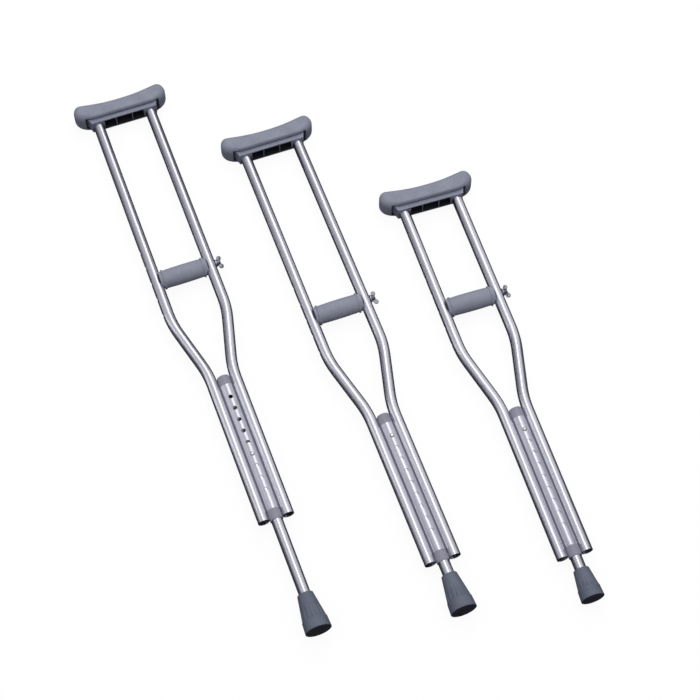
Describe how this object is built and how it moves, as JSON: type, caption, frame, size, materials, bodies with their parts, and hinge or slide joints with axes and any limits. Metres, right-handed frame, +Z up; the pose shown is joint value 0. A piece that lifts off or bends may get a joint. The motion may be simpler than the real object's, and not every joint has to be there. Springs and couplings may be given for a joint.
{
  "type": "underarm crutch set",
  "caption": "Aluminium underarm crutches with bowed twin uprights, padded underarm rests, bolted handgrips and telescopic legs on rubber tips, laid flat.",
  "frame": {"origin": "on the floor, under the middle of the set's box", "axes": "+Y along the crutches towards the underarm pads, +X across them towards the wing nuts, +Z up out of the fronts with the height holes"},
  "size_m": [0.715, 1.3514, 0.0501],
  "materials": {
    "pad_foam": "matte moulded closed-cell foam, blue-grey",
    "grip_foam": "matte moulded foam, blue-grey",
    "saddle_plastic": "moulded, grey",
    "grey_plastic": "moulded, grey",
    "core_plastic": "moulded, dark grey",
    "tube_aluminium": "drawn tube, satin anodised",
    "extruded_aluminium": "extruded, satin anodised",
    "leg_aluminium": "drawn tube, satin anodised",
    "rivet_aluminium": "as drawn",
    "zinc_steel": "bright zinc plate",
    "nut_steel": "bright nickel plate",
    "button_steel": "turned, bright",
    "spring_steel": "rolled strip, blued",
    "tip_rubber": "moulded rubber, blue-grey"
  },
  "bodies": {
    "adult_frame": {"adult_underarm_pad": "pad_foam", "adult_saddle": "saddle_plastic", "adult_saddle_screws": "zinc_steel", "adult_upright_left": "tube_aluminium", "adult_upright_right": "tube_aluminium", "adult_handgrip": "grip_foam", "adult_grip_core": "core_plastic", "adult_grip_bolt": "zinc_steel", "adult_centre_extrusion": "extruded_aluminium", "adult_frame_rivets": "rivet_aluminium", "adult_top_cap": "grey_plastic", "adult_bottom_collar": "grey_plastic"},
    "adult_leg": {"adult_leg": "leg_aluminium", "adult_button_spring": "spring_steel", "adult_tip": "tip_rubber", "adult_tip_disc": "zinc_steel"},
    "adult_snap_button": {"adult_snap_button": "button_steel"},
    "adult_washer": {"adult_grip_washer": "zinc_steel"},
    "adult_wing_nut": {"adult_wing_nut": "nut_steel"},
    "tall_frame": {"tall_underarm_pad": "pad_foam", "tall_saddle": "saddle_plastic", "tall_saddle_screws": "zinc_steel", "tall_upright_left": "tube_aluminium", "tall_upright_right": "tube_aluminium", "tall_handgrip": "grip_foam", "tall_grip_core": "core_plastic", "tall_grip_bolt": "zinc_steel", "tall_centre_extrusion": "extruded_aluminium", "tall_frame_rivets": "rivet_aluminium", "tall_top_cap": "grey_plastic", "tall_bottom_collar": "grey_plastic"},
    "tall_leg": {"tall_leg": "leg_aluminium", "tall_button_spring": "spring_steel", "tall_tip": "tip_rubber", "tall_tip_disc": "zinc_steel"},
    "tall_snap_button": {"tall_snap_button": "button_steel"},
    "tall_washer": {"tall_grip_washer": "zinc_steel"},
    "tall_wing_nut": {"tall_wing_nut": "nut_steel"},
    "youth_frame": {"youth_underarm_pad": "pad_foam", "youth_saddle": "saddle_plastic", "youth_saddle_screws": "zinc_steel", "youth_upright_left": "tube_aluminium", "youth_upright_right": "tube_aluminium", "youth_handgrip": "grip_foam", "youth_grip_core": "core_plastic", "youth_grip_bolt": "zinc_steel", "youth_centre_extrusion": "extruded_aluminium", "youth_frame_rivets": "rivet_aluminium", "youth_top_cap": "grey_plastic", "youth_bottom_collar": "grey_plastic"},
    "youth_leg": {"youth_leg": "leg_aluminium", "youth_button_spring": "spring_steel", "youth_tip": "tip_rubber", "youth_tip_disc": "zinc_steel"},
    "youth_snap_button": {"youth_snap_button": "button_steel"},
    "youth_washer": {"youth_grip_washer": "zinc_steel"},
    "youth_wing_nut": {"youth_wing_nut": "nut_steel"}
  },
  "joints": [
    {"name": "adult_leg_slide", "type": "slide", "parent": "adult_frame", "child": "adult_leg", "axis": [0, -1, 0], "range_m": [0, 0.2032], "deforming": ["adult_snap_button", "adult_button_spring"]},
    {"name": "adult_button_press", "type": "slide", "parent": "adult_leg", "child": "adult_snap_button", "axis": [0, 0, -1], "range_m": [0, 0.0042], "stiffness_N_per_m": 1500, "springref_m": -0.001},
    {"name": "adult_washer_advance", "type": "slide", "parent": "adult_frame", "child": "adult_washer", "axis": [1, 0, 0], "range_m": [0, 0.00762]},
    {"name": "adult_wing_nut_turn", "type": "hinge", "parent": "adult_washer", "child": "adult_wing_nut", "pos_m": [0.06935, 0.04328, 0.025], "axis": [1, 0, 0], "range_deg": [0, 2166]},
    {"name": "tall_lift", "type": "slide", "parent": "adult_frame", "child": "tall_frame", "axis": [0, 0, 1], "range_m": [0, 0.15]},
    {"name": "tall_leg_slide", "type": "slide", "parent": "tall_frame", "child": "tall_leg", "axis": [0.0038, -1, 0], "range_m": [-0.127, 0.0762], "deforming": ["tall_snap_button", "tall_button_spring"]},
    {"name": "tall_button_press", "type": "slide", "parent": "tall_leg", "child": "tall_snap_button", "axis": [0, 0, -1], "range_m": [0, 0.0042], "stiffness_N_per_m": 1500, "springref_m": -0.001},
    {"name": "tall_washer_advance", "type": "slide", "parent": "tall_frame", "child": "tall_washer", "axis": [1, 0.0038, 0], "range_m": [0, 0.00762]},
    {"name": "tall_wing_nut_turn", "type": "hinge", "parent": "tall_washer", "child": "tall_wing_nut", "pos_m": [-0.18949, 0.22464, 0.025], "axis": [1, 0.0038, 0], "range_deg": [0, 2166]},
    {"name": "youth_lift", "type": "slide", "parent": "adult_frame", "child": "youth_frame", "axis": [0, 0, 1], "range_m": [0, 0.15]},
    {"name": "youth_leg_slide", "type": "slide", "parent": "youth_frame", "child": "youth_leg", "axis": [-0.0351, -0.9994, -0.0031], "range_m": [0, 0.2032], "deforming": ["youth_snap_button", "youth_button_spring"]},
    {"name": "youth_button_press", "type": "slide", "parent": "youth_leg", "child": "youth_snap_button", "axis": [0.0001, 0.0031, -1], "range_m": [0, 0.0042], "stiffness_N_per_m": 1500, "springref_m": -0.001},
    {"name": "youth_washer_advance", "type": "slide", "parent": "youth_frame", "child": "youth_washer", "axis": [0.9994, -0.0351, 0], "range_m": [0, 0.00762]},
    {"name": "youth_wing_nut_turn", "type": "hinge", "parent": "youth_washer", "child": "youth_wing_nut", "pos_m": [0.31793, -0.0317, 0.02425], "axis": [0.9994, -0.0351, 0], "range_deg": [0, 2166]}
  ],
  "couplings": [
    {"joint": "adult_wing_nut_turn", "follows": "adult_washer_advance", "rad_per_m": 4947.4},
    {"joint": "tall_wing_nut_turn", "follows": "tall_washer_advance", "rad_per_m": 4947.4},
    {"joint": "youth_wing_nut_turn", "follows": "youth_washer_advance", "rad_per_m": 4947.4}
  ]
}
